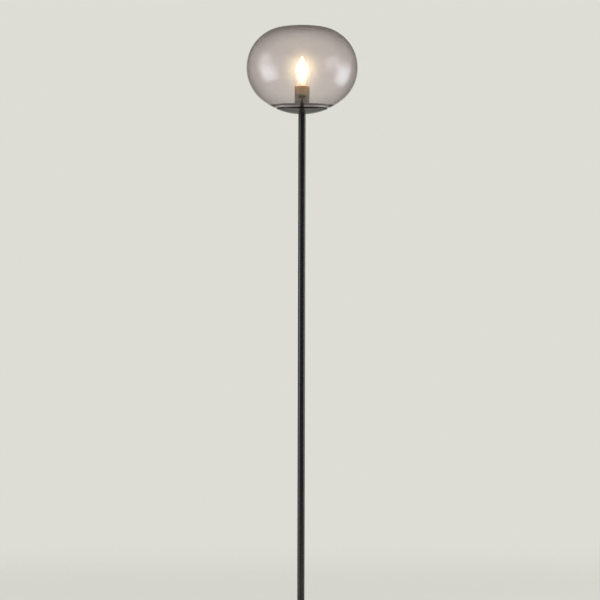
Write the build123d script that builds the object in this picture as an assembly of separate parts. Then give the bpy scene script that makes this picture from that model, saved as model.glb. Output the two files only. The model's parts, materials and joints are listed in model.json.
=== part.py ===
from build123d import *
import os
from math import acos, asin, cos, degrees, radians, sin, sqrt

# Globe floor lamp: a round weighted base, a slim three-section pole, a shallow dish and a smoked
# glass globe that rests on the dish over an E27 lampholder and its bulb.
# Millimetres. The origin is the centre of the underside of the base, +Z is up, and the cable
# leaves the base at the back, towards +Y.

# ---- Driving dimensions ----------------------------------------------------------------------

# Fits
slip = 0.1                  # radial clearance where one piece slides over another
fixed_gap = 0.05            # radial clearance of a screwed, brazed or pressed joint
soft_gap = 0.3              # clearance round a rubber ring
contact_gap = 0.3           # the spring contact stands this far off the bulb's contact

# Base
base_d = 250.0
sheet = 1.2                 # steel sheet of the cover, the dish and the glass carrier
cover_edge_r = 4.0          # outer edge of the base cover
cover_lift = 1.0            # the cover's skirt stops this far above the floor
weight_h = 17.0
weight_gap = 0.5            # between the cast weight and the cover's skirt
pad_inset = 6.0             # the pad's edge inside the cover's
pad_t = 2.0

# Cable entry
bush_bore_d = 6.8           # takes a 6.5 mm round flex
bush_neck_d = 9.8           # the neck that snaps into the cover
bush_collar_d = 12.0        # the collar behind the cover
bush_flange_d = 15.0
bush_flange_t = 2.5
bush_collar_l = 9.0
bush_z = 8.2
channel_gap = 0.6           # between the collar and the channel in the weight

# Threaded tube and its fastenings
nipple_d = 10.0             # M10 hollow threaded tube
nipple_bore_d = 7.5
engagement = 15.0           # length of tube screwed into an insert
nut_flats = 14.0
nut_t = 4.0
washer_d = 19.0
washer_t = 1.5
spacer_d = 14.0             # tube that holds the carrier off the dish's nut
nut_room_d = 34.0           # pocket under the weight
nut_room_h = 13.0
nipple_tail = 0.5           # the tube ends this far past its nut

# Pole
pole_d = 18.0
pole_wall = 1.5
section_l = 420.0           # length of each tube of the pole
section_names = ("lower", "middle", "upper")
seam = 0.25                 # chamfer on the tube ends
insert_l = 20.0
stud_d = 12.0               # thread between two sections
stud_l = 14.0
stud_body_l = 18.0
wire_bore_d = 8.0

# Glass globe. Each half of its outline is two tangent arcs.
glass_d = 275.0
crown_h = 105.9             # equator to top
bowl_h = 113.9              # equator to the lowest point that the dish's curve runs down to
crown_half_angle = 9.2      # half the arc over the crown
bowl_half_angle = 38.3      # half the arc under the bowl
glass_wall = 3.0
glass_floor = 5.0           # the wall thickens to this towards the mouth
mouth_rise = 15.3           # ground rim above the lowest point of the curve
mouth_trim = 1.5            # bore that takes the feather edge off the mouth
rim_round = 9.0             # fire-polished outer corner of the ground rim
mouth_round = 0.3

# Dish, glass carrier and gasket
dish_seat_d = 22.0          # flat under the dish where the pole stands
seat_w = 4.6                # width of the ledge that carries the glass
mouth_gap = 0.7             # between the carrier's wall and the glass
carrier_h = 13.5
carrier_edge_r = 2.5
gasket_t = 1.8

# Lampholder, E27
holder_d = 37.0
holder_h = 44.2
holder_cap_h = 22.7
holder_edge_r = 1.2
holder_floor = 2.5
holder_wall = 2.2
holder_lip_t = 2.0
holder_mouth_d = 30.0
boss_d = 15.0
boss_h = 9.0
spigot_h = 5.0
spigot_wall = 0.9
core_flange_t = 2.0
core_step = 1.9             # radial width of the shoulder that carries the core
core_lift = 0.4             # the core hangs clear of the cap's floor
bulb_depth = 27.0           # the bulb's contact below the lampholder's top
screw_shell_t = 0.4
screw_shell_drop = 2.0      # the screw shell stops this far below the lampholder's top
terminal = (4.6, 6.0, 4.0)
terminal_x = 10.6
terminal_gap = 0.2
terminal_screw_d = 3.0
terminal_screw_l = 3.2
terminal_head_d = 4.4
terminal_head_t = 1.0
tongue_w = 6.0
tongue_t = 0.5
tongue_run = 4.0
tongue_rise = 2.0
terminal_slot_w = 0.8

# Bulb, C35 candle
bulb_d = 35.0
bulb_l = 100.5
bulb_belly_rise = 33.0      # the widest level above the top of the neck
bulb_tip_r = 3.0
bulb_wall = 0.8
bulb_neck_d = 25.0
bulb_cap_d = 26.1
bulb_cap_t = 0.4
bulb_cap_h = 23.5
bulb_neck_clear = 1.6       # straight neck above the cap
bulb_neck_in = 7.0          # neck inside the cap
contact_d = 9.0
contact_t = 0.8
insulator_h = 3.0
insulator_inset = 2.0       # the insulator's wide end inside the cap's edge
cap_hole_margin = 1.0       # the cap's hole round the contact
stem_d = 7.0
stem_h = 23.0
stem_flare_h = 7.0
stem_rim_t = 1.5
filament_count = 4
filament_d = 2.0
filament_l = 34.0
filament_foot_r = 6.5       # distance of a filament's foot from the axis
filament_top_r = 4.5
arm_d = 0.9
post_d = 1.4
post_rise = 5.0             # lower arms above the stem

# ---- Levels and radii that follow ------------------------------------------------------------

base_r = base_d / 2
pole_r = pole_d / 2
nipple_r = nipple_d / 2
hole_r = nipple_r + slip
thread_r = nipple_r + fixed_gap
insert_r = pole_r - pole_wall - fixed_gap

weight_z = pad_t
weight_top = weight_z + weight_h
cover_top = weight_top + sheet
nut_room_top = weight_z + nut_room_h
pole_top = cover_top + section_l * len(section_names)


def two_arcs(half_width, height, half_angle):
    """Radii of the cap and side arcs that run, tangent, from (0, height) to (half_width, 0)."""
    s = sin(radians(half_angle))
    c = cos(radians(half_angle))
    spread = (half_width - height) / (s + c - 1)
    return height + spread * c, half_width - spread * s


def radius_at(cap_r, rise):
    """Distance from the axis of a circle's point that lies rise above its lowest point."""
    return sqrt(cap_r ** 2 - (cap_r - rise) ** 2)


glass_r = glass_d / 2
inside_r = glass_r - glass_wall
inside_bowl_h = bowl_h - glass_floor
bowl_r = two_arcs(glass_r, bowl_h, bowl_half_angle)[0]
inside_bowl_r = two_arcs(inside_r, inside_bowl_h, bowl_half_angle)[0]
mouth_r = radius_at(inside_bowl_r, mouth_rise - glass_floor) + mouth_trim
rim_r = mouth_r + seat_w
carrier_r = mouth_r - mouth_gap

dish_centre_z = pole_top + sqrt(bowl_r ** 2 - (dish_seat_d / 2) ** 2)
dish_rim_z = dish_centre_z - sqrt(bowl_r ** 2 - rim_r ** 2)
ledge_z = dish_rim_z + sheet
glass_rim_z = ledge_z + gasket_t
equator_z = glass_rim_z + bowl_h - mouth_rise
carrier_top = dish_rim_z + carrier_h

holder_r = holder_d / 2
holder_top = carrier_top + holder_h
holder_seam = carrier_top + holder_cap_h
holder_inside_r = holder_r - holder_wall
spigot_r = holder_inside_r + spigot_wall
bulb_tip = holder_top - bulb_depth
core_top = bulb_tip - contact_gap - tongue_t - tongue_rise
shoulder_z = core_top - core_flange_t
holder_floor_z = carrier_top + holder_floor
core_foot = holder_floor_z + core_lift
core_r = holder_inside_r - core_step - slip
screw_shell_r = bulb_cap_d / 2 + slip + screw_shell_t
boss_top = carrier_top + boss_h
bulb_cap_z = bulb_tip + contact_t + insulator_h
bulb_cap_top = bulb_cap_z + bulb_cap_h


# ---- Helpers ---------------------------------------------------------------------------------

UPWARDS = (Align.CENTER, Align.CENTER, Align.MIN)
DOWNWARDS = (Align.CENTER, Align.CENTER, Align.MAX)


def turned(face):
    """Solid of revolution about the lamp's axis; the face's x is the radius and its y the height."""
    return revolve(Plane.XZ * face, Axis.Z)


def polygon(*points):
    return make_face(Polyline(*points, close=True))


def ring(outer_r, inner_r, low, high):
    return turned(polygon((inner_r, low), (outer_r, low), (outer_r, high), (inner_r, high)))


def corner(face, x, y):
    """The vertex of a flat face that lies nearest to (x, y)."""
    return face.vertices().sort_by_distance((x, y, 0))[0]


def rounded(face, x, y, radius):
    return fillet(corner(face, x, y), radius)


def hex_nut(low):
    blank = Pos(0, 0, low) * extrude(RegularPolygon(nut_flats / 2, 6, major_radius=False), nut_t)
    return blank - Pos(0, 0, low + nut_t / 2) * Cylinder(thread_r, 2 * nut_t)


def flat_washer(low):
    return ring(washer_d / 2, hole_r, low, low + washer_t)


def threaded_tube(low, high):
    return ring(nipple_r, nipple_bore_d / 2, low, high)


def pole_insert(low):
    """Threaded insert brazed into the end of a tube."""
    return ring(insert_r, thread_r, low, low + insert_l)


def oval(half_width, up, up_angle, down, down_angle):
    """Half of the globe's outline as a face: two arcs above the equator and two below."""
    edges = []
    for height, angle, side in ((up, up_angle, 1), (down, down_angle, -1)):
        cap_r, side_r = two_arcs(half_width, height, angle)
        edges.append(CenterArc((0, side * (height - cap_r)), cap_r, side * 90, -side * angle))
        edges.append(CenterArc((half_width - side_r, 0), side_r, side * (90 - angle), -side * (90 - angle)))
    edges.append(Line((0, -down), (0, up)))
    return make_face(edges)


# ---- Base ------------------------------------------------------------------------------------


def base_cover():
    inner_r = base_r - sheet
    face = polygon(
        (hole_r, cover_top), (base_r, cover_top), (base_r, cover_lift),
        (inner_r, cover_lift), (inner_r, weight_top), (hole_r, weight_top),
    )
    face = rounded(face, base_r, cover_top, cover_edge_r)
    face = rounded(face, inner_r, weight_top, cover_edge_r - sheet)
    cable_hole = Pos(0, base_r, bush_z) * Rot(90, 0, 0) * Cylinder(bush_neck_d / 2 + slip, 6 * sheet)
    return turned(face) - cable_hole


def base_weight():
    r = base_r - sheet - weight_gap
    face = polygon((hole_r, weight_top), (r, weight_top), (r, weight_z), (hole_r, weight_z))
    face = rounded(face, r, weight_top, cover_edge_r)
    casting = turned(face)
    casting -= ring(nut_room_d / 2, hole_r, weight_z, nut_room_top)
    # The cable lies in a round-topped channel from the nut's pocket to the bush.
    half = bush_collar_d / 2 + channel_gap
    section = Rectangle(2 * half, bush_z - weight_z, align=(Align.CENTER, Align.MAX)) + Circle(half)
    channel = extrude(Plane((0, 0, bush_z), x_dir=(-1, 0, 0), z_dir=(0, 1, 0)) * section, base_r)
    return casting - channel


def base_pad():
    return ring(base_r - pad_inset, 0, 0, pad_t)


def cable_bush():
    """Moulded bush: flange outside, neck in the cover's hole, collar behind the cover."""
    back = base_r - sheet - slip
    face = polygon(
        (bush_bore_d / 2, back - bush_collar_l), (bush_collar_d / 2, back - bush_collar_l),
        (bush_collar_d / 2, back - weight_gap), (bush_neck_d / 2, back - weight_gap),
        (bush_neck_d / 2, base_r), (bush_flange_d / 2, base_r),
        (bush_flange_d / 2, base_r + bush_flange_t), (bush_bore_d / 2, base_r + bush_flange_t),
    )
    face = rounded(face, bush_flange_d / 2, base_r + bush_flange_t, bush_flange_t / 2)
    return Pos(0, 0, bush_z) * Rot(-90, 0, 0) * turned(face)


# ---- Pole ------------------------------------------------------------------------------------


def pole_section(low):
    tube = ring(pole_r, pole_r - pole_wall, low, low + section_l)
    ends = tube.edges().filter_by(GeomType.CIRCLE).filter_by(lambda e: e.radius > pole_r - pole_wall / 2)
    return chamfer(ends, seam)


def joint_stud(level):
    """Turned stud: its body fills the top of the lower tube and its thread stands above the seam."""
    face = polygon(
        (wire_bore_d / 2, level - stud_body_l), (insert_r, level - stud_body_l), (insert_r, level),
        (stud_d / 2, level), (stud_d / 2, level + stud_l), (wire_bore_d / 2, level + stud_l),
    )
    return turned(face)


def joint_socket(level):
    return ring(insert_r, stud_d / 2 + fixed_gap, level, level + insert_l)


# ---- Dish, carrier and glass -----------------------------------------------------------------


def dish_half(radius, foot, rim):
    """Half section of a solid bowl that is flat at its foot, from there up to the height rim."""
    drop = dish_centre_z - foot
    foot_r = sqrt(radius ** 2 - drop ** 2)
    edge_r = sqrt(radius ** 2 - (dish_centre_z - rim) ** 2)
    start = -degrees(acos(foot_r / radius))
    sweep = degrees(acos(foot_r / radius)) - degrees(acos(edge_r / radius))
    return make_face([
        Line((0, foot), (foot_r, foot)),
        CenterArc((0, dish_centre_z), radius, start, sweep),
        Line((edge_r, rim), (0, rim)),
        Line((0, rim), (0, foot)),
    ])


def shade_dish():
    outside = dish_half(bowl_r, pole_top, dish_rim_z)
    inside = dish_half(bowl_r - sheet, pole_top + sheet, dish_rim_z)
    return turned(outside - inside) - Pos(0, 0, pole_top) * Cylinder(hole_r, 4 * sheet)


def glass_carrier():
    """Pressed top hat: its brim closes the dish and carries the glass, its crown centres the glass."""
    inner_r = carrier_r - sheet
    face = polygon(
        (hole_r, carrier_top), (carrier_r, carrier_top), (carrier_r, ledge_z), (rim_r, ledge_z),
        (rim_r, dish_rim_z), (inner_r, dish_rim_z), (inner_r, carrier_top - sheet),
        (hole_r, carrier_top - sheet),
    )
    face = rounded(face, carrier_r, carrier_top, carrier_edge_r)
    face = rounded(face, inner_r, carrier_top - sheet, carrier_edge_r - sheet)
    return turned(face)


def glass_gasket():
    return ring(rim_r, carrier_r + soft_gap, ledge_z, glass_rim_z)


def glass_shade():
    outside = oval(glass_r, crown_h, crown_half_angle, bowl_h, bowl_half_angle)
    inside = oval(inside_r, crown_h - glass_wall, crown_half_angle, inside_bowl_h, bowl_half_angle)
    cut = mouth_rise - bowl_h
    below = Pos(glass_r, cut) * Rectangle(2 * glass_r, 2 * bowl_h, align=(Align.CENTER, Align.MAX))
    bore = Pos(0, cut) * Rectangle(2 * mouth_r, mouth_rise)
    glass = Pos(0, 0, equator_z) * turned((outside - inside) - below - bore)
    for place, radius in ((-1, rim_round), (0, mouth_round)):
        circles = glass.edges().filter_by(GeomType.CIRCLE).filter_by(lambda e: e.is_closed)
        rim = circles.filter_by(lambda e: abs(e.arc_center.Z - glass_rim_z) < mouth_round / 2)
        glass = fillet(rim.sort_by(SortBy.RADIUS)[place], radius)
    return glass


def spacer_tube(low):
    return ring(spacer_d / 2, hole_r, low, carrier_top - sheet)


# ---- Lampholder ------------------------------------------------------------------------------


def holder_cap():
    shoulder_r = holder_inside_r - core_step
    face = polygon(
        (thread_r, carrier_top), (holder_r, carrier_top), (holder_r, holder_seam),
        (spigot_r, holder_seam), (spigot_r, holder_seam + spigot_h),
        (holder_inside_r, holder_seam + spigot_h), (holder_inside_r, shoulder_z),
        (shoulder_r, shoulder_z), (shoulder_r, holder_floor_z), (boss_d / 2, holder_floor_z),
        (boss_d / 2, boss_top), (thread_r, boss_top),
    )
    return turned(rounded(face, holder_r, carrier_top, holder_edge_r))


def holder_shell():
    lip_z = holder_top - holder_lip_t
    step_z = holder_seam + spigot_h + slip
    face = polygon(
        (spigot_r + fixed_gap, holder_seam), (holder_r, holder_seam), (holder_r, holder_top),
        (holder_mouth_d / 2, holder_top), (holder_mouth_d / 2, lip_z), (holder_inside_r, lip_z),
        (holder_inside_r, step_z), (spigot_r + fixed_gap, step_z),
    )
    return turned(rounded(face, holder_r, holder_top, holder_edge_r))


def terminal_places():
    return [Pos(side * terminal_x, 0, core_foot + terminal_head_t) for side in (-1, 1)]


def holder_core():
    """Ceramic core: rests on the cap's shoulder, bridges the boss and pockets the two terminals."""
    core = ring(core_r, 0, core_foot, core_top) + ring(holder_inside_r - slip, 0, shoulder_z, core_top)
    core -= ring(boss_d / 2 + slip, 0, core_foot, boss_top + slip)
    length, width, height = (size + 2 * terminal_gap for size in terminal)
    pocket = Box(length, width, 2 * (height + terminal_head_t))
    for place in terminal_places():
        core -= Pos(place.position.X, 0, core_foot) * pocket
    return core


def holder_screw_shell():
    return ring(screw_shell_r, screw_shell_r - screw_shell_t, core_top, holder_top - screw_shell_drop)


def holder_tongue():
    """Sprung centre contact: a flat foot on the core and a raised tip under the bulb's contact."""
    tip = bulb_tip - contact_gap
    foot_x = 2.2 * tongue_run
    outline = polygon(
        (-foot_x, core_top), (-tongue_run, core_top), (0, tip - tongue_t), (tongue_run, tip - tongue_t),
        (tongue_run, tip), (-tongue_t / 2, tip), (-tongue_run - tongue_t / 2, core_top + tongue_t),
        (-foot_x, core_top + tongue_t),
    )
    return extrude(Plane.XZ * outline, tongue_w / 2, both=True)


def holder_terminals():
    bore = Cylinder(terminal_screw_d / 2 + fixed_gap, 3 * terminal[2])
    block = Pos(0, 0, terminal[2] / 2) * (Box(*terminal) - bore)
    return Compound([place * block for place in terminal_places()])


def terminal_screws():
    shank = Cylinder(terminal_screw_d / 2, terminal_screw_l, align=UPWARDS)
    head = Cylinder(terminal_head_d / 2, terminal_head_t, align=DOWNWARDS)
    slot = Pos(0, 0, -terminal_head_t) * Box(terminal_head_d, terminal_slot_w, terminal_head_t)
    screw = shank + head - slot
    return Compound([place * screw for place in terminal_places()])


# ---- Bulb ------------------------------------------------------------------------------------


bulb_r = bulb_d / 2
bulb_top = bulb_tip + bulb_l
neck_r = bulb_neck_d / 2
neck_z = bulb_cap_top + bulb_neck_clear
belly_z = neck_z + bulb_belly_rise
tip_z = bulb_top - bulb_tip_r
# Radii of the flank below the widest level and of the one above it, which runs into the tip.
low_flank_r = (bulb_belly_rise ** 2 + (bulb_r - neck_r) ** 2) / (2 * (bulb_r - neck_r))
high_flank_r = (bulb_r ** 2 + (tip_z - belly_z) ** 2 - bulb_tip_r ** 2) / (2 * (bulb_r - bulb_tip_r))


def bulb_half(inset):
    """Half section of the bulb's envelope, drawn in by inset, from inside the cap to the tip."""
    foot = bulb_cap_top - bulb_neck_in
    low_x = bulb_r - low_flank_r
    high_x = bulb_r - high_flank_r
    low_angle = degrees(asin(bulb_belly_rise / (low_flank_r - inset)))
    high_angle = degrees(asin((tip_z - belly_z) / (high_flank_r - bulb_tip_r)))
    x = low_x + (low_flank_r - inset) * cos(radians(low_angle))
    return make_face([
        CenterArc((low_x, belly_z), low_flank_r - inset, -low_angle, low_angle),
        CenterArc((high_x, belly_z), high_flank_r - inset, 0, high_angle),
        CenterArc((0, tip_z), bulb_tip_r - inset, high_angle, 90 - high_angle),
        Line((x, neck_z), (x, foot)),
        Line((x, foot), (0, foot)),
        Line((0, foot), (0, bulb_top - inset)),
    ])


def bulb_glass():
    return turned(bulb_half(0) - bulb_half(bulb_wall))


def bulb_cap():
    outer = bulb_cap_d / 2
    inner = outer - bulb_cap_t
    hole = contact_d / 2 + cap_hole_margin
    low = bulb_cap_z
    face = polygon(
        (hole, low), (outer, low), (outer, bulb_cap_top), (inner, bulb_cap_top),
        (inner, low + bulb_cap_t), (hole, low + bulb_cap_t),
    )
    return turned(rounded(face, outer, low, 2 * bulb_cap_t))


def bulb_insulator():
    low = bulb_tip + contact_t
    wide = bulb_cap_d / 2 - insulator_inset
    return turned(polygon((0, low), (contact_d / 2, low), (wide, bulb_cap_z), (0, bulb_cap_z)))


def bulb_contact():
    r = contact_d / 2
    top = bulb_tip + contact_t
    face = polygon((0, bulb_tip), (r, bulb_tip), (r, top), (0, top))
    return turned(rounded(face, r, bulb_tip, contact_t / 2))


stem_z = bulb_cap_top - bulb_neck_in
stem_top = stem_z + stem_h
arm_low = stem_top + post_rise
arm_high = arm_low + sqrt(filament_l ** 2 - (filament_top_r - filament_foot_r) ** 2)


def bulb_stem():
    """Glass stem: its flare seals the neck and its rod carries the filaments' post."""
    wide = neck_r - bulb_wall - fixed_gap
    return turned(polygon(
        (0, stem_z), (wide, stem_z), (wide, stem_z + stem_rim_t), (stem_d / 2, stem_z + stem_flare_h),
        (stem_d / 2, stem_top), (0, stem_top),
    ))


def filament_angles():
    return [index * 360 / filament_count + 45 for index in range(filament_count)]


def bulb_frame():
    """Centre post with an arm to each end of every filament."""
    frame = Pos(0, 0, stem_top) * Cylinder(post_d / 2, arm_high - stem_top, align=UPWARDS)
    for angle in filament_angles():
        for level, reach in ((arm_low, filament_foot_r), (arm_high, filament_top_r)):
            arm = Rot(0, 90, 0) * Cylinder(arm_d / 2, reach, align=UPWARDS)
            frame += Rot(0, 0, angle) * Pos(0, 0, level) * arm
    return frame


def bulb_filaments():
    """LED filaments between the arms, leaning inwards as they rise."""
    lean = degrees(asin((filament_top_r - filament_foot_r) / filament_l))
    length = filament_l - 2 * arm_d
    rod = Rot(0, lean, 0) * Cylinder(filament_d / 2, length)
    middle = Pos((filament_foot_r + filament_top_r) / 2, 0, (arm_low + arm_high) / 2)
    return Compound([Rot(0, 0, angle) * middle * rod for angle in filament_angles()])


# ---- Assembly --------------------------------------------------------------------------------

base_nut_z = nut_room_top - washer_t - nut_t
dish_floor = pole_top + sheet
dish_nut_z = dish_floor + washer_t

parts = {
    "base_cover": base_cover(),
    "base_weight": base_weight(),
    "base_pad": base_pad(),
    "cable_bush": cable_bush(),
    "base_nipple": threaded_tube(base_nut_z - nipple_tail, cover_top + engagement),
    "base_washer": flat_washer(nut_room_top - washer_t),
    "base_nut": hex_nut(base_nut_z),
    "foot_insert": pole_insert(cover_top),
    "top_insert": pole_insert(pole_top - insert_l),
    "top_nipple": threaded_tube(pole_top - engagement, boss_top),
    "dish_washer": flat_washer(dish_floor),
    "dish_nut": hex_nut(dish_nut_z),
    "spacer_tube": spacer_tube(dish_nut_z + nut_t),
    "shade_dish": shade_dish(),
    "glass_carrier": glass_carrier(),
    "glass_gasket": glass_gasket(),
    "glass_shade": glass_shade(),
    "holder_cap": holder_cap(),
    "holder_shell": holder_shell(),
    "holder_core": holder_core(),
    "holder_screw_shell": holder_screw_shell(),
    "holder_tongue": holder_tongue(),
    "holder_terminals": holder_terminals(),
    "terminal_screws": terminal_screws(),
    "bulb_glass": bulb_glass(),
    "bulb_cap": bulb_cap(),
    "bulb_insulator": bulb_insulator(),
    "bulb_contact": bulb_contact(),
    "bulb_stem": bulb_stem(),
    "bulb_frame": bulb_frame(),
    "bulb_filaments": bulb_filaments(),
}

for index, name in enumerate(section_names):
    parts[f"pole_{name}"] = pole_section(cover_top + index * section_l)

for index, name in enumerate(section_names[:-1], start=1):
    seam_z = cover_top + index * section_l
    parts[f"{name}_joint_stud"] = joint_stud(seam_z)
    parts[f"{name}_joint_socket"] = joint_socket(seam_z)

os.makedirs("parts", exist_ok=True)
for name, shape in parts.items():
    export_step(shape, f"parts/{name}.step")

print("glass top", round(equator_z + crown_h, 2), "rim", round(glass_rim_z, 2))
print("mouth radius", round(mouth_r, 2), "dish radius", round(rim_r, 2))
print("bulb tip", round(bulb_tip, 2), "bulb top", round(bulb_top, 2))
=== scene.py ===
import json
import math

import bpy
import bmesh
from mathutils import Matrix, Vector

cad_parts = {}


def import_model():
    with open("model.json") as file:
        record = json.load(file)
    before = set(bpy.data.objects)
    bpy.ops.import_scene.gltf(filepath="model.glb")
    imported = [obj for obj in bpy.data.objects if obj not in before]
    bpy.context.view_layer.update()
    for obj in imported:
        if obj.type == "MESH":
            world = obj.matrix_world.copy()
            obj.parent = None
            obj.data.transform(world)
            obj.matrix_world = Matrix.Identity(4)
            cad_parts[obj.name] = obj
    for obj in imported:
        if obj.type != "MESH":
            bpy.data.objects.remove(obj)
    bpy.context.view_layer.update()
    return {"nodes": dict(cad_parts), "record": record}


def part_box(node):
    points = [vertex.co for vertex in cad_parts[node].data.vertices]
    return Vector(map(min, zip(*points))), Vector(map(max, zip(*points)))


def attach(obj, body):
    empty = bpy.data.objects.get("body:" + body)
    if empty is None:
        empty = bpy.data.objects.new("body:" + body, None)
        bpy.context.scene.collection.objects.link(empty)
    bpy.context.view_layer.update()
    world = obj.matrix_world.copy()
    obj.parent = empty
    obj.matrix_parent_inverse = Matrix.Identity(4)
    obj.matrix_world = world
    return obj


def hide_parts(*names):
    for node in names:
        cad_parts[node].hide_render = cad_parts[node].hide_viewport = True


# Looks of the globe floor lamp. Metres, in the CAD's own frame: the origin is under the base, +Z is
# up, the front faces -Y.

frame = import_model()

MM = 0.001

# ---- Camera ----------------------------------------------------------------------------------

IMAGE_SIDE = 600            # pixels
PIXEL = 2.465 * MM          # width of a pixel at the lamp's axis
CAMERA_DISTANCE = 10.0
CLIP_END = 100.0
SENSOR = 36.0               # mm
EQUATOR_ROW = 68.0          # picture row of the glass's widest level
MIDDLE_ROW = IMAGE_SIDE / 2
AXIS_COLUMN = 301.55        # picture column of the lamp's axis at the middle row
ROLL = 0.14                 # degrees, the lamp leans to the right at the top

# ---- Glass globe, as in the CAD --------------------------------------------------------------

# Only the wall differs: it is even down to THICK_RIM, where the CAD's thickens all down the bowl.
CROWN_HALF_ANGLE = 9.2      # degrees, half the arc over the crown
BOWL_HALF_ANGLE = 38.3      # degrees, half the arc under the bowl
CROWN_H = 105.9 * MM        # equator to top
MOUTH_RISE = 15.3 * MM      # ground rim above the lowest point of the outer curve
GLASS_WALL = 3.0 * MM
GLASS_FLOOR = 5.0 * MM      # the wall thickens to this at the rim,
THICK_RIM = 9.0 * MM        # from this height above it
MOUTH_TRIM = 1.5 * MM       # the bore takes this much of the feather edge off the mouth
MOUTH_ROUND = 0.3 * MM      # inner corner of the rim
RIM_ROUND = 9.0 * MM        # outer corner of the rim, fire-polished
RIM_CLEAR = RIM_ROUND / 4   # outline points nearer to that corner make way for its rounding

# ---- Fineness of the meshes ------------------------------------------------------------------

GLOBE_SEGMENTS = 256        # facets round the axis
CAP_STEPS = 24              # facets along the arc over the crown or under the bowl
SIDE_STEPS = 60             # facets along an arc at the side
ROUND_STEPS = 6             # facets round a corner of the rim
FLOOR_SEGMENTS = 96
GLOBE_SHARP = 60            # degrees, edges of the globe sharper than this stay hard
STAGE_SHARP = 35            # degrees, the same for the floor and the panels
ON_AXIS = 0.0001 * MM       # a smaller radius is a point on the axis

# ---- Glass and bulb --------------------------------------------------------------------------

GLASS_IOR = 1.58
SMOKE = (0.535, 0.38, 0.415)        # colour that the mass of the glass lets through
SMOKE_DENSITY = 102.0               # strength of that tint, per metre
GLASS_SHADOW = (0.86, 0.82, 0.82)   # what each face of the globe leaves of a shadow ray

# Tint of the glass's skin: how slanted it is looked through (0 straight, 1 along it), and the share
# of the light that passes.
SKIN_TINT = ((0.3, 1.0), (0.5, 0.87), (0.7, 0.73), (0.8, 0.62), (0.9, 0.55))

HAZE = 0.016                        # share of the light that the glass scatters
HAZE_COLOUR = (1.0, 0.93, 0.72)
HAZE_ROUGHNESS = 0.56

BULB_IOR = 1.5
FROST = 0.30                        # roughness of the bulb's glass
BULB_SHADOW = (0.97, 0.92, 0.84)    # what each face of the bulb leaves of a shadow ray
FILAMENT_COLOUR = (1.0, 0.84, 0.42)
FILAMENT_GLOW = 24.0
LAMP_COLOUR = (1.0, 0.95, 0.74)

# Lamps inside the bulb: mm above the foot of its glass, radius in mm, watts, and whether glass shows
# the lamp itself.
BULB_LAMPS = (
    (49.5, 12.0, 0.85, True),
    (28.5, 6.0, 0.03, True),
    (68.5, 6.0, 0.03, True),
    (50.5, 25.0, 3.0, False),
)

# ---- Other surfaces --------------------------------------------------------------------------

CLOUD_DETAIL = 4            # octaves of the noise that clouds a surface
BUMP_DETAIL = 2             # and of the finer noise in its bumps
BUMP_HEIGHT = 0.2 * MM
MOTTLE_ENDS = (0.3, 0.7)    # noise values between which a clouded colour runs from dark to light

COAT_DARK = (0.012, 0.012, 0.012)
COAT_LIGHT = (0.019, 0.019, 0.019)
COAT_GLOSS = (1.0, 0.95, 0.89)      # tint of its reflections
COAT_IOR = 1.58
COAT_ROUGHNESS = (0.18, 0.26)
COAT_CLOUD = 18                     # scale of its clouds
COAT_PEEL = 1400                    # scale of its orange peel
COAT_DEPTH = 0.12                   # strength of that peel

# Plain looks: grain is the scale of the clouds, depth the strength of the bumps.
VARIATION = 0.15            # share by which colour and gloss vary
BUMP_SCALE = 20             # how many times finer the bumps are than the clouds
PLAIN_LOOKS = {
    "cast_iron": dict(colour=(0.09, 0.09, 0.095), roughness=0.6, metallic=1.0, grain=90, depth=0.3),
    "pad": dict(colour=(0.03, 0.03, 0.03), roughness=0.85, grain=200, depth=0.3),
    "bush": dict(colour=(0.02, 0.02, 0.02), roughness=0.5),
    "zinc_steel": dict(colour=(0.62, 0.62, 0.60), roughness=0.3, metallic=1.0),
    "gasket": dict(colour=(0.008, 0.008, 0.008), roughness=0.8, ior=1.3),
    "phenolic": dict(colour=(0.030, 0.020, 0.013), roughness=0.3),
    # Painted light: the holder's shell is black phenolic, and this brown-gold paints the bulb's warm
    # glow on it.
    "holder_painted_glow": dict(colour=(0.23, 0.095, 0.010), roughness=0.45, ior=1.35),
    "steatite": dict(colour=(0.80, 0.78, 0.72), roughness=0.6),
    "brass": dict(colour=(0.72, 0.55, 0.25), roughness=0.3, metallic=1.0),
    "bulb_metal": dict(colour=(0.75, 0.75, 0.75), roughness=0.25, metallic=1.0),
    "vitrite": dict(colour=(0.02, 0.02, 0.025), roughness=0.1),
}
OWN_LOOKS = {"holder_shell": "holder_painted_glow"}    # nodes whose look isn't that of their slot: a painted glow

# ---- Studio ----------------------------------------------------------------------------------

BACKDROP = (0.723, 0.723, 0.665)
DARK = (0.06, 0.06, 0.06)           # what glass and gloss show beyond the backdrop
FILL = (0.6, 0.6, 0.6)              # even light on what is matt

# Between which values of a direction each pale field ends: upward is Z, away from the camera is Y.
MIRRORED_TOP = (0.05, 0.20)         # Z, top of the backdrop in a reflection
MIRRORED_SIDE = (0.90, 0.99)        # Y, side of the backdrop in a reflection
MIRRORED_GROUND = (-0.80, -0.50)    # Z, edge of the ground in a reflection
THROUGH_TOP = (0.25, 0.65)          # Z, top of the backdrop seen through glass

FLOOR = (0.74, 0.74, 0.71)
FLOOR_R = 4.0
FLOOR_FADE = (0.3 * FLOOR_R, 0.95 * FLOOR_R)    # distances over which the floor fades out
BACKDROP_SHARE = 0.7        # how much the floor, where it is seen, takes the backdrop's colour

# Name, degrees from the front to the right, distance and height of the middle, (width, height),
# strength.
PANELS = (
    ("left_panel", -74, 2.3, 0.75, (3.0, 2.8), 3.2),
    ("right_panel", 96, 2.0, 0.85, (2.6, 2.6), 3.4),
)
PANEL_COLOUR = (0.84, 0.92, 1.0)
PANEL_HALF = 0.5            # half the side of the square that is scaled to a panel's size


# ---- Mesh helpers ----------------------------------------------------------------------------


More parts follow.
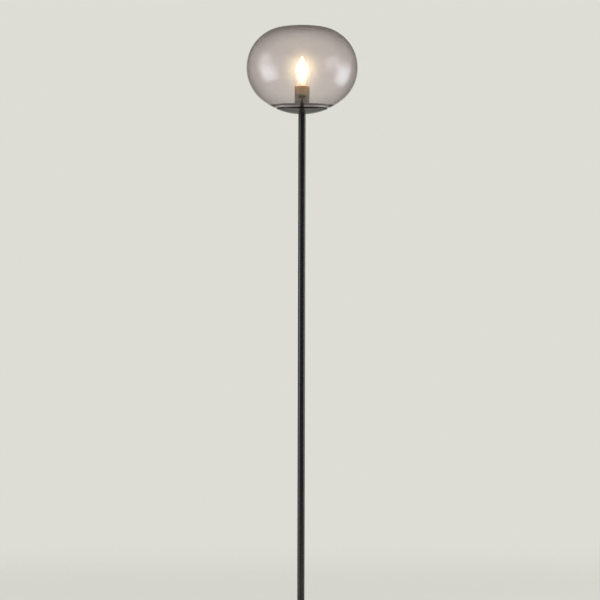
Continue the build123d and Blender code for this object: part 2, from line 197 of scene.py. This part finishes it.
def arc(centre, radius, start, end, steps):
    """Points of a circular arc in the (radius, height) plane; the angles are in degrees."""
    points = []
    for step in range(steps + 1):
        angle = math.radians(start + (end - start) * step / steps)
        points.append((centre[0] + radius * math.cos(angle), centre[1] + radius * math.sin(angle)))
    return points


def bevelled(points, radii):
    """An outline of corner points with each corner rounded by its own radius (0 keeps it sharp)."""
    outline = []
    for index, (point, radius) in enumerate(zip(points, radii)):
        if radius == 0:
            outline.append(point)
            continue
        here = Vector(point)
        back = (Vector(points[index - 1]) - here).normalized()
        ahead = (Vector(points[index + 1]) - here).normalized()
        half = math.acos(back.dot(ahead)) / 2
        reach = radius / math.tan(half)
        centre = here + (back + ahead).normalized() * (radius / math.sin(half))
        first = here + back * reach - centre
        last = here + ahead * reach - centre
        turn = first.angle_signed(last)
        for step in range(ROUND_STEPS + 1):
            spin = Matrix.Rotation(-turn * step / ROUND_STEPS, 2)
            outline.append(tuple(centre + spin @ first))
    return outline


def mesh_object(name, bm, sharp=STAGE_SHARP):
    """A finished mesh object: outward normals, smooth shading, edges sharper than the angle kept."""
    bmesh.ops.recalc_face_normals(bm, faces=bm.faces)
    data = bpy.data.meshes.new(name)
    bm.to_mesh(data)
    bm.free()
    data.shade_smooth()
    data.set_sharp_from_angle(angle=math.radians(sharp))
    obj = bpy.data.objects.new(name, data)
    bpy.context.scene.collection.objects.link(obj)
    return obj


def lathe(name, outline, segments, sharp):
    """An outline of (radius, height) points, turned about the lamp's axis."""
    bm = bmesh.new()
    rings = []
    for radius, height in outline:
        if radius < ON_AXIS:
            rings.append([bm.verts.new((0, 0, height))])
            continue
        ring = []
        for index in range(segments):
            angle = 2 * math.pi * index / segments
            ring.append(bm.verts.new((radius * math.cos(angle), radius * math.sin(angle), height)))
        rings.append(ring)
    for low, high in zip(rings, rings[1:]):
        for index in range(segments):
            after = (index + 1) % segments
            corners = [low[index % len(low)], low[after % len(low)]]
            corners += [high[after % len(high)], high[index % len(high)]]
            bm.faces.new(list(dict.fromkeys(corners)))
    return mesh_object(name, bm, sharp)


# ---- Node helpers ----------------------------------------------------------------------------


class Nodes:
    """A short way to build the node tree of a material or a world."""

    def __init__(self, owner, output):
        self.owner = owner
        owner.use_nodes = True
        self.tree = owner.node_tree
        self.tree.nodes.clear()
        self.output = self.add(output)

    def add(self, kind, *in_order, **by_name):
        """A new node, with its inputs in their order or by name, where _ stands for a space."""
        node = self.tree.nodes.new(kind)
        for place, value in enumerate(in_order):
            self.set(node, place, value)
        for name, value in by_name.items():
            self.set(node, name.replace("_", " "), value)
        return node

    def set(self, node, key, value):
        """Sets an input to a value, a (red, green, blue) colour, an output or a node's first output."""
        socket = node.inputs[key]
        if isinstance(value, bpy.types.Node):
            self.tree.links.new(value.outputs[0], socket)
        elif isinstance(value, bpy.types.NodeSocket):
            self.tree.links.new(value, socket)
        elif socket.type == "RGBA":
            socket.default_value = (*value, 1)
        else:
            socket.default_value = value

    def surface(self, shader):
        self.set(self.output, "Surface", shader)

    def mix(self, factor, first, second):
        """The first shader where the factor is 0, the second where it is 1."""
        return self.add("ShaderNodeMixShader", factor, first, second)

    def maths(self, operation, *values):
        node = self.add("ShaderNodeMath", *values)
        node.operation = operation
        return node

    def map_range(self, value, start, end, low, high, interpolation="LINEAR"):
        """Low where the value is start, high where it is end, and clamped beyond them."""
        node = self.add("ShaderNodeMapRange", value, start, end, low, high)
        node.interpolation_type = interpolation
        return node


def material_nodes(name):
    return Nodes(bpy.data.materials.new(name), "ShaderNodeOutputMaterial")


def coordinates(nodes, kind):
    return nodes.add("ShaderNodeTexCoord").outputs[kind]


def noise(nodes, scale, detail):
    texture = nodes.add(
        "ShaderNodeTexNoise", Vector=coordinates(nodes, "Object"), Scale=scale, Detail=detail
    )
    return texture.outputs["Fac"]


def mottle(nodes, factor, dark, light):
    """A colour that runs from dark to light as the noise in factor rises."""
    ramp = nodes.add("ShaderNodeValToRGB", Fac=factor)
    for stop, place, colour in zip(ramp.color_ramp.elements, MOTTLE_ENDS, (dark, light)):
        stop.position = place
        stop.color = (*colour, 1)
    return ramp


def bump(nodes, height, strength):
    return nodes.add("ShaderNodeBump", Height=height, Strength=strength, Distance=BUMP_HEIGHT)


# ---- Materials -------------------------------------------------------------------------------


def powder_coat():
    """Fine satin black powder coat: a faint orange peel, slight cloudiness in its gloss."""
    nodes = material_nodes("powder_coat")
    cloud = noise(nodes, COAT_CLOUD, CLOUD_DETAIL)
    peel = noise(nodes, COAT_PEEL, BUMP_DETAIL)
    nodes.surface(nodes.add(
        "ShaderNodeBsdfPrincipled",
        Base_Color=mottle(nodes, cloud, COAT_DARK, COAT_LIGHT),
        Roughness=nodes.map_range(cloud, 0, 1, *COAT_ROUGHNESS),
        IOR=COAT_IOR,
        Specular_Tint=COAT_GLOSS,
        Normal=bump(nodes, peel, COAT_DEPTH),
    ))
    return nodes.owner


def plain(name, colour, roughness, metallic=0.0, grain=60, depth=0.05, ior=1.5):
    """A surface with slight variation in colour and gloss and a fine bump."""
    nodes = material_nodes(name)
    cloud = noise(nodes, grain, CLOUD_DETAIL)
    pits = noise(nodes, BUMP_SCALE * grain, BUMP_DETAIL)
    less, more = 1 - VARIATION, 1 + VARIATION
    nodes.surface(nodes.add(
        "ShaderNodeBsdfPrincipled",
        Base_Color=mottle(nodes, cloud, [less * channel for channel in colour], colour),
        Metallic=metallic,
        Roughness=nodes.map_range(cloud, 0, 1, less * roughness, more * roughness),
        IOR=ior,
        Normal=bump(nodes, pits, depth),
    ))
    return nodes.owner


def filament():
    """The glowing filament of the bulb."""
    nodes = material_nodes("filament")
    nodes.surface(nodes.add(
        "ShaderNodeBsdfPrincipled",
        Base_Color=FILAMENT_COLOUR,
        Emission_Color=FILAMENT_COLOUR,
        Emission_Strength=FILAMENT_GLOW,
    ))
    return nodes.owner


def rough_glass(nodes, colour, roughness, ior):
    glass = nodes.add("ShaderNodeBsdfGlass", Color=colour, Roughness=roughness, IOR=ior)
    glass.distribution = "BECKMANN"
    return glass


def see_through(nodes, glass, shade):
    """Shows the glass to every ray but a shadow ray, which passes straight through, dimmed by shade."""
    shadow_ray = nodes.add("ShaderNodeLightPath").outputs["Is Shadow Ray"]
    nodes.surface(nodes.mix(shadow_ray, glass, nodes.add("ShaderNodeBsdfTransparent", shade)))


def skin_tint(nodes):
    """The colour of the glass's smoked skin, darker where it is looked through at a slant."""
    slant = nodes.add("ShaderNodeLayerWeight").outputs["Facing"]
    tint = nodes.add("ShaderNodeValToRGB", Fac=slant)
    stops = tint.color_ramp.elements
    while len(stops) < len(SKIN_TINT):
        stops.new(1)
    for stop, (place, share) in zip(stops, SKIN_TINT):
        stop.position = place
        stop.color = (share, share, share, 1)
    return tint


def smoked_glass():
    """Glass tinted in its mass and its skin, with a trace of haze that spreads the bulb's light."""
    nodes = material_nodes("smoked_glass")
    clear = nodes.add(
        "ShaderNodeBsdfPrincipled",
        Base_Color=skin_tint(nodes),
        Roughness=0.0,
        IOR=GLASS_IOR,
        Transmission_Weight=1.0,
    )
    haze = rough_glass(nodes, HAZE_COLOUR, HAZE_ROUGHNESS, GLASS_IOR)
    see_through(nodes, nodes.mix(HAZE, clear, haze), GLASS_SHADOW)
    mass = nodes.add("ShaderNodeVolumeAbsorption", Color=SMOKE, Density=SMOKE_DENSITY)
    nodes.set(nodes.output, "Volume", mass)
    return nodes.owner


def bulb_envelope():
    """Frosted bulb glass, lit from inside by the lamps of bulb_light."""
    nodes = material_nodes("bulb_envelope")
    see_through(nodes, rough_glass(nodes, (1, 1, 1), FROST, BULB_IOR), BULB_SHADOW)
    return nodes.owner


def dress():
    """Gives each CAD node the look of its slot, or its own. Returns all the looks by name."""
    looks = {name: plain(name, **look) for name, look in PLAIN_LOOKS.items()}
    looks["black_paint"] = powder_coat()
    looks["smoked_glass"] = smoked_glass()
    looks["bulb_glass"] = bulb_envelope()
    looks["filament"] = filament()
    slots = {piece["node"]: piece["material_slot"] for piece in frame["record"]["subparts"]}
    for name, obj in frame["nodes"].items():
        obj.data.materials.clear()
        obj.data.materials.append(looks[OWN_LOOKS.get(name, slots[name])])
    return looks


# ---- Glass globe -----------------------------------------------------------------------------


def two_arcs(half_width, height, half_angle):
    """Radii of the cap and side arcs that run, tangent, from (0, height) to (half_width, 0)."""
    sine = math.sin(math.radians(half_angle))
    cosine = math.cos(math.radians(half_angle))
    excess = (half_width - height) / (sine + cosine - 1)
    return height + excess * cosine, half_width - excess * sine


def upper_half(half_width, height, half_angle, equator):
    """From the crown down to the equator."""
    cap, side = two_arcs(half_width, height, half_angle)
    points = arc((0, equator + height - cap), cap, 90, 90 - half_angle, CAP_STEPS)
    points += arc((half_width - side, equator), side, 90 - half_angle, 0, SIDE_STEPS)[1:]
    return points


def lower_half(half_width, height, half_angle, equator, rim):
    """From the equator down to the height of the ground rim."""
    cap, side = two_arcs(half_width, height, half_angle)
    centre = equator - height + cap
    last = -math.degrees(math.asin((centre - rim) / cap))
    points = arc((half_width - side, equator), side, 0, half_angle - 90, SIDE_STEPS)
    points += arc((0, centre), cap, half_angle - 90, last, CAP_STEPS)[1:]
    return points


def globe_outline(half_width, equator, rim):
    """The section of the glass: down its outer face, round the rim and up its inner face."""
    bowl = equator - rim + MOUTH_RISE
    outside = upper_half(half_width, CROWN_H, CROWN_HALF_ANGLE, equator)
    outside += lower_half(half_width, bowl, BOWL_HALF_ANGLE, equator, rim)[1:]
    inner = half_width - GLASS_WALL
    inside = upper_half(inner, CROWN_H - GLASS_WALL, CROWN_HALF_ANGLE, equator)
    even = lower_half(inner, bowl - GLASS_WALL, BOWL_HALF_ANGLE, equator, rim)
    thick = lower_half(inner, bowl - GLASS_FLOOR, BOWL_HALF_ANGLE, equator, rim)
    for near, far in zip(even[1:], thick[1:]):
        share = max(0, min(1, 1 - (near[1] - rim) / THICK_RIM))
        inside.append(tuple(Vector(near).lerp(Vector(far), share)))
    corner = outside[-1]
    mouth = (inside[-1][0] + MOUTH_TRIM, rim)
    outside = [point for point in outside if (Vector(point) - Vector(corner)).length > RIM_CLEAR]
    inside = [point for point in inside if point[0] > mouth[0] or point[1] > equator]
    foot = bevelled([outside[-1], corner, mouth, inside[-1]], [0, RIM_ROUND, MOUTH_ROUND, 0])
    return outside[:-1] + foot + inside[-2::-1]


def glass_shade(material):
    low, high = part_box("glass_shade")
    outline = globe_outline((high.x - low.x) / 2, high.z - CROWN_H, low.z)
    globe = lathe("globe", outline, GLOBE_SEGMENTS, GLOBE_SHARP)
    globe.data.materials.append(material)
    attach(globe, "glass")
    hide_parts("glass_shade")


# ---- Stage -----------------------------------------------------------------------------------


def world():
    """Pale backdrop round the horizon, for camera, glass and gloss, with dark above it."""
    sky = bpy.data.worlds.new("studio")
    bpy.context.scene.world = sky
    nodes = Nodes(sky, "ShaderNodeOutputWorld")
    direction = nodes.add("ShaderNodeSeparateXYZ", coordinates(nodes, "Generated")).outputs

    def within(axis, start, end):
        """1 where the direction's axis is below start, 0 above end, smooth between."""
        return nodes.map_range(direction[axis], start, end, 1, 0, "SMOOTHSTEP")

    ahead = nodes.maths("SUBTRACT", 1, within("Y", *MIRRORED_SIDE))
    upright = nodes.maths("MULTIPLY", ahead, within("Z", *MIRRORED_TOP))
    pale = nodes.maths("MAXIMUM", upright, within("Z", *MIRRORED_GROUND))
    backdrop = nodes.add("ShaderNodeBackground", BACKDROP)
    dark = nodes.add("ShaderNodeBackground", DARK)
    fill = nodes.add("ShaderNodeBackground", FILL)
    mirrored = nodes.mix(pale, dark, backdrop)
    through = nodes.mix(within("Z", *THROUGH_TOP), dark, backdrop)
    path = nodes.add("ShaderNodeLightPath").outputs
    shown = nodes.mix(path["Is Glossy Ray"], fill, mirrored)
    shown = nodes.mix(path["Is Transmission Ray"], shown, through)
    shown = nodes.mix(path["Is Camera Ray"], shown, backdrop)
    nodes.surface(shown)


def panel_glow(name, strength):
    """A glow that fades to the panel's edges, on gloss and matt surfaces but not seen through glass."""
    nodes = material_nodes(name)
    place = nodes.add("ShaderNodeSeparateXYZ", coordinates(nodes, "Object")).outputs
    for axis in ("X", "Y"):
        offset = nodes.maths("ABSOLUTE", place[axis])
        fade = nodes.map_range(offset, 0, PANEL_HALF, 1, 0, "SMOOTHERSTEP")
        strength = nodes.maths("MULTIPLY", fade, strength)
    path = nodes.add("ShaderNodeLightPath").outputs
    bounced = nodes.maths("MAXIMUM", path["Glossy Depth"], path["Is Diffuse Ray"])
    strength = nodes.maths("MULTIPLY", strength, nodes.maths("MINIMUM", bounced, 1))
    glow = nodes.add("ShaderNodeEmission", PANEL_COLOUR, strength)
    clear = nodes.add("ShaderNodeBsdfTransparent")
    nodes.surface(nodes.add("ShaderNodeAddShader", glow, clear))
    nodes.owner.cycles.emission_sampling = "NONE"
    return nodes.owner


def soft_panel(name, azimuth, distance, height, size, strength):
    """A soft light panel that faces the lamp's axis."""
    angle = math.radians(azimuth)
    place = Vector((math.sin(angle) * distance, -math.cos(angle) * distance, height))
    bm = bmesh.new()
    bmesh.ops.create_grid(bm, x_segments=1, y_segments=1, size=PANEL_HALF)
    panel = mesh_object(name, bm)
    panel.scale = (*size, 1)
    panel.location = place
    panel.rotation_euler = (Vector((0, 0, height)) - place).to_track_quat("Z", "Y").to_euler()
    panel.data.materials.append(panel_glow(name, strength))
    panel.visible_camera = False


def bulb_light():
    """The bulb's warm light: its bright core behind the frosted glass, and what it casts round it."""
    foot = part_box("bulb_glass")[0].z
    for index, (rise, radius, watts, shows) in enumerate(BULB_LAMPS, 1):
        name = f"bulb_light_{index}"
        lamp = bpy.data.lights.new(name, "POINT")
        lamp.energy = watts
        lamp.color = LAMP_COLOUR
        lamp.shadow_soft_size = radius * MM
        obj = bpy.data.objects.new(name, lamp)
        obj.location = (0, 0, foot + rise * MM)
        obj.visible_camera = False
        obj.visible_glossy = False
        obj.visible_transmission = shows
        bpy.context.scene.collection.objects.link(obj)


def floor_paint():
    """Matt paint that is seen nearly in the backdrop's colour, fades out and is clear from below."""
    nodes = material_nodes("floor")
    path = nodes.add("ShaderNodeLightPath").outputs
    bent = nodes.maths("MAXIMUM", path["Is Glossy Ray"], path["Is Transmission Ray"])
    seen = nodes.maths("MAXIMUM", path["Is Camera Ray"], bent)
    lit = nodes.add("ShaderNodeBsdfDiffuse", FLOOR)
    glow = nodes.add("ShaderNodeEmission", BACKDROP)
    paint = nodes.mix(seen, lit, nodes.mix(BACKDROP_SHARE, lit, glow))
    reach = nodes.add("ShaderNodeVectorMath", coordinates(nodes, "Object"))
    reach.operation = "LENGTH"
    fade = nodes.map_range(reach.outputs["Value"], *FLOOR_FADE, 0, 1, "SMOOTHSTEP")
    below = nodes.add("ShaderNodeNewGeometry").outputs["Backfacing"]
    gone = nodes.maths("MAXIMUM", fade, below)
    nodes.surface(nodes.mix(gone, paint, nodes.add("ShaderNodeBsdfTransparent")))
    return nodes.owner


def floor():
    """A pale round floor that fades into the backdrop and keeps the lamp's shadow."""
    bm = bmesh.new()
    bmesh.ops.create_circle(bm, cap_ends=True, segments=FLOOR_SEGMENTS, radius=FLOOR_R)
    ground = mesh_object("floor", bm)
    ground.data.materials.append(floor_paint())


def camera():
    """Level, in front of the lamp, with each pixel PIXEL wide at the lamp's axis."""
    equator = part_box("glass_shade")[1].z - CROWN_H
    data = bpy.data.cameras.new("camera")
    data.sensor_width = SENSOR
    data.lens = SENSOR * CAMERA_DISTANCE / (IMAGE_SIDE * PIXEL)
    data.clip_end = CLIP_END
    obj = bpy.data.objects.new("camera", data)
    bpy.context.scene.collection.objects.link(obj)
    obj.location = (
        (MIDDLE_ROW - AXIS_COLUMN) * PIXEL,
        -CAMERA_DISTANCE,
        equator - (MIDDLE_ROW - EQUATOR_ROW) * PIXEL,
    )
    obj.rotation_mode = "QUATERNION"
    look = Vector((0, 1, 0)).to_track_quat("-Z", "Y")
    obj.rotation_quaternion = look @ Matrix.Rotation(math.radians(ROLL), 3, "Z").to_quaternion()
    bpy.context.scene.camera = obj


# ---- The scene -------------------------------------------------------------------------------

looks = dress()
glass_shade(looks["smoked_glass"])
world()
bulb_light()
floor()
for panel in PANELS:
    soft_panel(*panel)
camera()
bpy.context.scene.view_settings.view_transform = "Standard"
